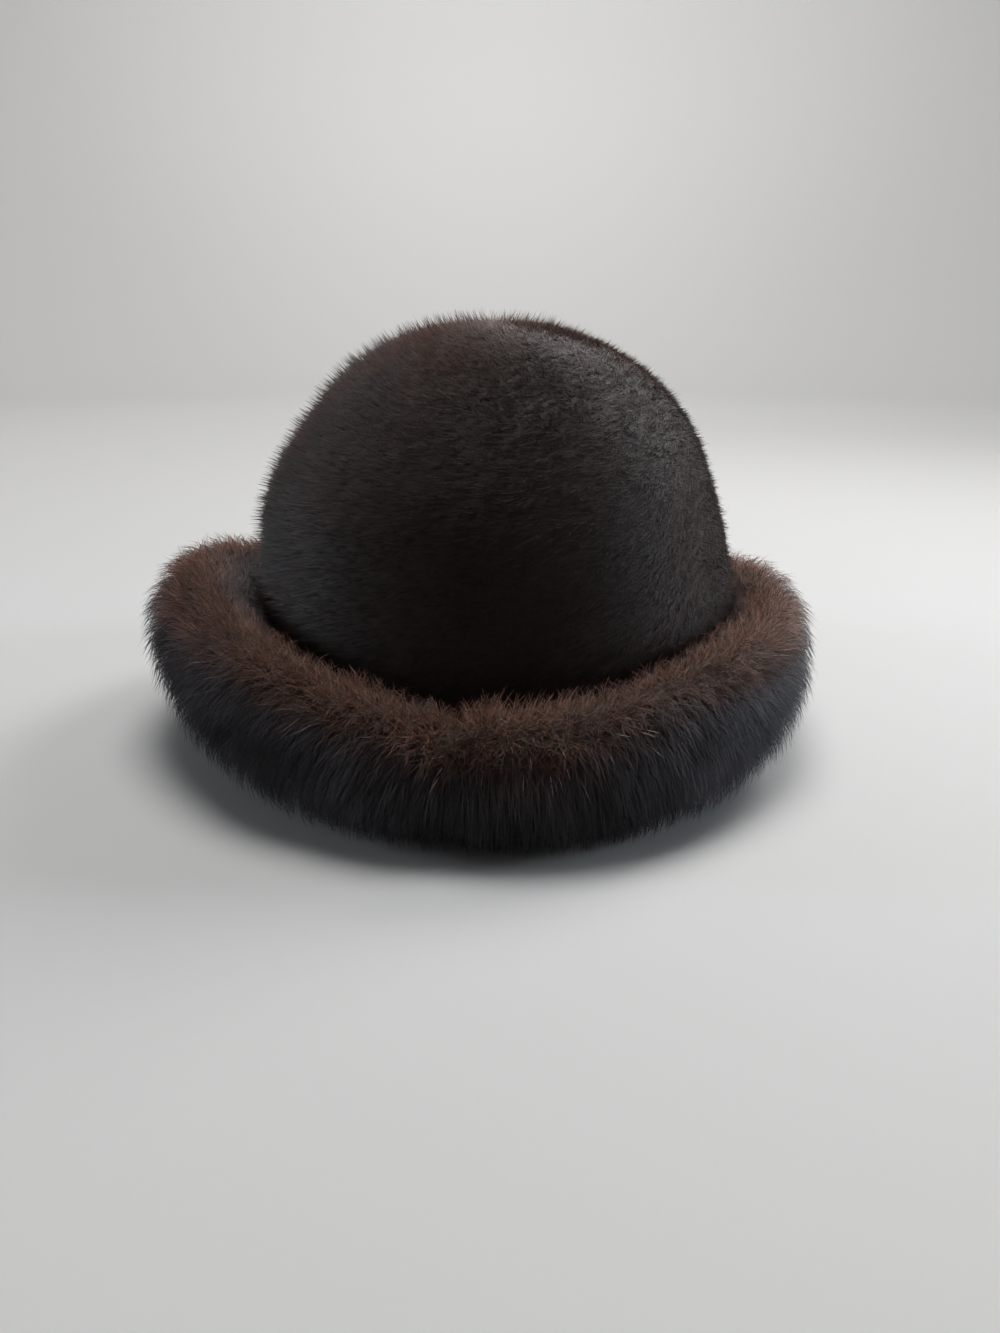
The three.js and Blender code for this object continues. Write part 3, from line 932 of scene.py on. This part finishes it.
def brim_layer(name, seed, hairs, turns, length, width, rise, wild, pull, brightness, pale=0,
               bends=False):
    """rise is how far the tips stand over the solid's surface, in millimetres, and wild how
    far the hairs turn aside where the fur is woolly, in degrees. pull is how much of the way
    to the middle of its bunch a tip is drawn, and pale the greatest share of pale hairs."""
    rng = np.random.default_rng(seed)
    at = brim_roots(rng, seed, hairs, turns)
    aside = turned_aside(rng, at, wild)
    is_pale = chosen_pale(rng, at, pale)
    aside = np.where(is_pale, aside * PALE_ASIDE, aside)
    reach = rng.uniform(*length, hairs) * (1 - WOOLLY_SHORTER * at.brown)
    reach = reach * (1 - VALLEY_SHORTER * at.valley) * MM
    reach = np.where(is_pale, rng.uniform(*PALE_LENGTH, hairs) * MM, reach)
    depth = brim_depth(at.turn) + BRIM_ROOT
    per_azimuth, per_turn = step_sizes(at.azimuth, at.turn, depth)
    pull = pull * (1 - WOOLLY_LOOSER * at.brown)
    to_azimuth = at.azimuth + reach * np.sin(aside) / per_azimuth
    to_azimuth = to_azimuth + pull * (at.bunch_azimuth - at.azimuth)
    to_turn = at.turn - reach * np.cos(aside) / per_turn
    to_turn = to_turn + pull * (at.bunch_turn - at.turn)
    over = tip_heights(rng, at, to_turn, rise)
    here, _, _, off = skin_at(on_brim, at.azimuth, at.turn, depth)
    tips = on_brim(to_azimuth, to_turn, over)
    paths = [here, tips]
    if bends:
        half_azimuth, half_turn = (at.azimuth + to_azimuth) / 2, (at.turn + to_turn) / 2
        middle = on_brim(half_azimuth, half_turn, over * BEND_UP - depth * BEND_DOWN)
        paths = [here, np.where(is_pale[:, None], (here + tips) / 2, middle), tips]
    tone = brightness * varied(at.mark, BUNCH_TONE)
    tone = tone * varied(at.patch, PATCH_TONE) * varied(at.spot, PATCH_TONE)
    tone = tone * rng.uniform(*BRIM_TONE_RANGE, hairs) * (1 + TUFT_TONE * at.tuft)
    tone = np.where(is_pale, PALE_TONE - rng.uniform(0, PALE_TONE_RANGE, hairs), tone)
    wide = rng.uniform(*width, hairs) * MM
    paths = lay_on_floor(np.stack(paths, axis=1))
    add_fur(name, paths, off, wide, tone, at.brown, brim_fur)


# %% The brim's three layers
brim_layer(
    "brim_underfur", seed=41, hairs=48000, turns=(-150, 205), length=(6, 9),
    width=(0.34, 0.46), rise=(-4, 0), wild=90, pull=0.35, brightness=0.9,
)
brim_layer(
    "brim_overfur", seed=42, hairs=48000, turns=(-125, 190), length=(6, 9),
    width=(0.24, 0.34), rise=(-2, 3), wild=90, pull=0.5, brightness=1.0,
)
brim_layer(
    "brim_guard_hair", seed=43, hairs=18000, turns=(-100, 170), length=(5, 8),
    width=(0.2, 0.28), rise=(0, 4.2), wild=60, pull=0.4, brightness=1.0, pale=0.09, bends=True,
)

# %% Each piece rides on the hat's one body and stands for its solid
for name, piece in pieces.items():
    node = name.split("_")[0]
    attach(piece, "root")
    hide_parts(node)
total = sum(triangles_in(piece.data) for piece in pieces.values())
print("pieces:", sorted(pieces), "with", total, "triangles")

# %% [markdown]
# The hat stands on a plain pale floor inside a round pale sweep, which curves up from the floor
# into a wall, so that there is no corner behind the hat from any side.

# %% Floor and backdrop, in metres
SWEEP_RADIUS = 2.6
SWEEP_CORNER = 0.9
SWEEP_HEIGHT = 2.4
SWEEP_AROUND = 96
CORNER_STEP = 6
SAME_PLACE = 0.01 * MM
PAPER = (0.18, 0.1785, 0.175, 1)
PAPER_ROUGHNESS = 0.8

bend_at = SWEEP_RADIUS - SWEEP_CORNER
profile = [(0.0, 0.0)]
for angle in (math.radians(a) for a in range(-90, 1, CORNER_STEP)):
    out, up = bend_at + SWEEP_CORNER * math.cos(angle), SWEEP_CORNER * (1 + math.sin(angle))
    profile.append((out, up))
profile.append((SWEEP_RADIUS, SWEEP_HEIGHT))
sweep_shape = spin_profile(profile, SWEEP_AROUND, closed=False)
bmesh.ops.remove_doubles(sweep_shape, verts=sweep_shape.verts, dist=SAME_PLACE)
sweep_mesh = mesh_of(sweep_shape, "sweep")
sweep = bpy.data.objects.new("sweep", sweep_mesh)
bpy.context.scene.collection.objects.link(sweep)
paper, _, _, paper_shader = start_material("sweep_paper", PAPER_ROUGHNESS)
paper_shader.inputs["Base Color"].default_value = PAPER
sweep_mesh.materials.append(paper)

# %% [markdown]
# Soft light comes from above and a little from behind, as from a ceiling lamp, so the dome's
# top carries a sheen while its near face stays dark. A weaker lamp behind on the right adds to
# the sheen on that shoulder. Four lamps light the wall on every side, and hardly reach the hat.
# Two weak ones, a little cooler, come from far out on the left and right, and bring out the
# dark outside of the brim.


# %% A soft round lamp
def soft_light(name, place, aim, size, power, spread):
    lamp = bpy.data.objects.new(name, bpy.data.lights.new(name, "AREA"))
    bpy.context.scene.collection.objects.link(lamp)
    lamp.data.shape = "DISK"
    lamp.data.size = size
    lamp.data.energy = power
    lamp.data.spread = math.radians(spread)
    lamp.visible_camera = False
    lamp.location = place
    lamp.rotation_euler = (Vector(aim) - Vector(place)).to_track_quat("-Z", "Y").to_euler()
    return lamp


# %% Lights on the hat and on the wall, with places in metres
soft_light(
    "ceiling_light", place=(0.05, 0.3, 1.7), aim=(0.05, 0.15, 0), size=1.0, power=29, spread=120
)
soft_light("right_light", place=(1.0, 0.9, 1.1), aim=(0, 0, 0.1), size=0.8, power=7, spread=70)
WALL_LIGHT_OUT, WALL_LIGHT_UP = 0.8, 2.1
WALL_AIM_OUT, WALL_AIM_UP = 2.7, 0.5
for x, y, power in ((0, 1, 88), (-1, 0, 66), (1, 0, 46), (0, -1, 50)):
    place = (WALL_LIGHT_OUT * x, WALL_LIGHT_OUT * y, WALL_LIGHT_UP)
    aim = (WALL_AIM_OUT * x, WALL_AIM_OUT * y, WALL_AIM_UP)
    soft_light("wall_light", place, aim, size=0.8, power=power, spread=130)

# %% Cool lights on the outside of the brim
COOL = (0.78, 0.88, 1)
COOL_OUT, COOL_BACK, COOL_UP = 1.9, 0.15, 0.5
for side, power in ((-1, 0.9), (1, 1.5)):
    place = (side * COOL_OUT, COOL_BACK, COOL_UP)
    cool = soft_light("cool_light", place, aim=(0, 0, 0), size=0.6, power=power, spread=30)
    cool.data.color = COOL

# %% World and view
ROOM_COLOUR = (1, 0.97, 0.93, 1)
ROOM_STRENGTH = 0.14

world = bpy.data.worlds.new("soft_room")
bpy.context.scene.world = world
world.use_nodes = True
background = world.node_tree.nodes["Background"]
background.inputs["Color"].default_value = ROOM_COLOUR
background.inputs["Strength"].default_value = ROOM_STRENGTH
bpy.context.scene.view_settings.view_transform = "Standard"
